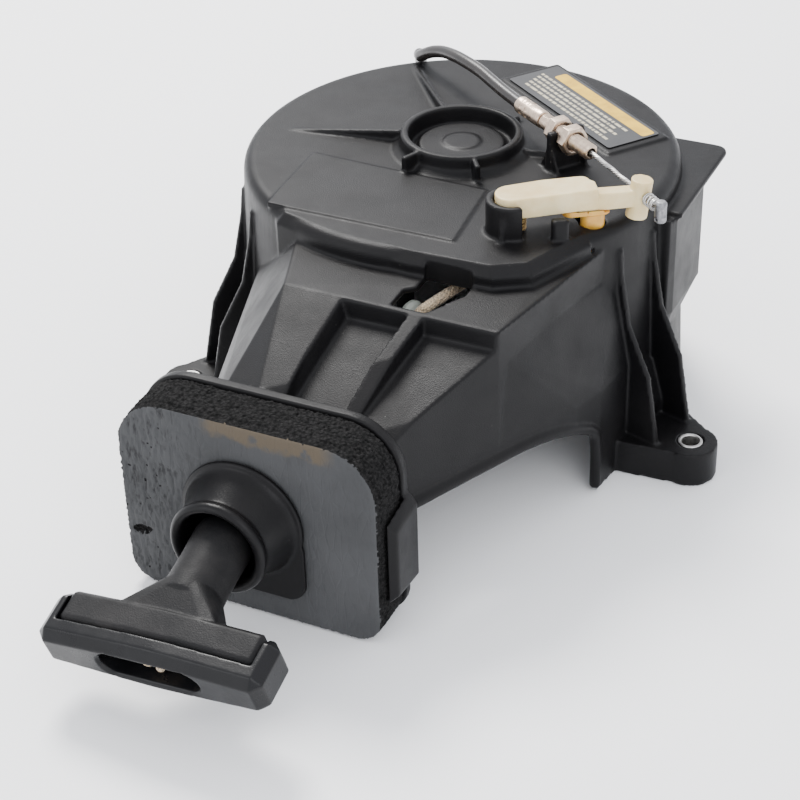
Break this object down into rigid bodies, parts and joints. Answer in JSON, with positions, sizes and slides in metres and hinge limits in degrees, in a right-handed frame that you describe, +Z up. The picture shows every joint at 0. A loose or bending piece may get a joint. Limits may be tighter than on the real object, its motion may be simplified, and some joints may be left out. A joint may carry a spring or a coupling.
{
  "type": "recoil starter",
  "caption": "Black moulded rope starter with a round drum cover, a foam-faced spout with a T handle, and a cable-worked interlock lever on top.",
  "frame": {"origin": "centre of the footprint of everything but the loose control cable, at the level of the feet", "axes": "+Z up along the drum's axis, +Y from the T handle towards the drum cover, +X to the right seen from the handle"},
  "size_m": [0.2768, 0.5466, 0.1515],
  "materials": {
    "black_plastic": "satin moulded",
    "handle_plastic": "satin with worn edges",
    "grip_rubber": "matte",
    "foam": "matte skin, granular cut sides",
    "drum_plastic": "satin",
    "steel": "satin",
    "yellow_zinc": "yellow passivated zinc",
    "zinc_grey": "dull cast",
    "brass": "satin",
    "cream_nylon": "satin",
    "amber": "satin, slightly clear",
    "white_nylon": "satin",
    "sheath": "satin",
    "rope": "braided",
    "label": "printed film with a plain yellow band"
  },
  "bodies": {
    "cover": {"housing": "black_plastic", "collar_right": "steel", "collar_left": "steel", "collar_rear": "steel", "foam_seal": "foam", "rope_guide": "handle_plastic", "guide_clip": "steel", "label_plate": "label", "rewind_spring": "steel", "friction_spring": "steel", "thrust_washer": "steel", "centre_bolt": "steel", "roller_pin": "steel", "rope_run": "rope", "lever_pin": "steel", "lever_spring": "brass", "crimp_ferrule": "yellow_zinc", "adjuster_barrel": "yellow_zinc", "adjuster_nut_rear": "yellow_zinc", "adjuster_nut_front": "yellow_zinc", "cable_sheath": "sheath", "cable_coil": "sheath", "cable_tail": "sheath", "cable_end_fitting": "yellow_zinc"},
    "drum": {"sheave_drum": "drum_plastic", "rope_winding": "rope", "sheave_bush": "brass", "pawl_spring_1": "steel", "pawl_spring_2": "steel", "pawl_clip_1": "steel", "pawl_clip_2": "steel"},
    "cam": {"cam_plate": "steel"},
    "pawl_1": {"drive_pawl_1": "steel"},
    "pawl_2": {"drive_pawl_2": "steel"},
    "roller": {"guide_roller": "white_nylon"},
    "handle": {"handle_frame": "handle_plastic", "handle_grip": "grip_rubber", "knot_washer": "steel", "rope_knot": "rope", "rope_span": "rope"},
    "lever": {"interlock_lever": "cream_nylon", "stopper": "amber", "inner_wire": "steel", "nipple_spring": "steel", "wire_nipple": "zinc_grey"}
  },
  "joints": [
    {"name": "drum_spin", "type": "hinge", "parent": "cover", "child": "drum", "pos_m": [-0.01161, 0.07614, 0.105], "axis": [0, 0, -1], "range_deg": [0, 1140], "deforming": ["rewind_spring"]},
    {"name": "handle_pull", "type": "slide", "parent": "cover", "child": "handle", "axis": [0, -1, 0], "range_m": [0, 1.194], "deforming": ["rope_span"]},
    {"name": "roller_turn", "type": "hinge", "parent": "cover", "child": "roller", "pos_m": [0.02189, -0.03586, 0.097], "axis": [0.9613, -0.2756, 0], "range_deg": [0, 8550]},
    {"name": "cam_plate_turn", "type": "hinge", "parent": "drum", "child": "cam", "pos_m": [-0.01161, 0.07614, 0.0968], "axis": [0, 0, -1], "range_deg": [0, 25]},
    {"name": "pawl_1_swing", "type": "hinge", "parent": "drum", "child": "pawl_1", "pos_m": [0.01039, 0.11424, 0.0968], "axis": [0, 0, -1], "range_deg": [0, 30]},
    {"name": "pawl_2_swing", "type": "hinge", "parent": "drum", "child": "pawl_2", "pos_m": [-0.03361, 0.03803, 0.0968], "axis": [0, 0, -1], "range_deg": [0, 30]},
    {"name": "lever_swing", "type": "hinge", "parent": "cover", "child": "lever", "pos_m": [0.04239, 0.00814, 0.14], "axis": [0, 0, 1], "range_deg": [0, 14], "stiffness_Nm_per_rad": 0.05, "springref_deg": -20.05, "deforming": ["inner_wire"]}
  ],
  "couplings": [
    {"joint": "handle_pull", "follows": "drum_spin", "m_per_rad": 0.06},
    {"joint": "roller_turn", "follows": "drum_spin", "ratio": 7.5},
    {"joint": "pawl_1_swing", "follows": "cam_plate_turn", "ratio": 1.2},
    {"joint": "pawl_2_swing", "follows": "cam_plate_turn", "ratio": 1.2}
  ]
}
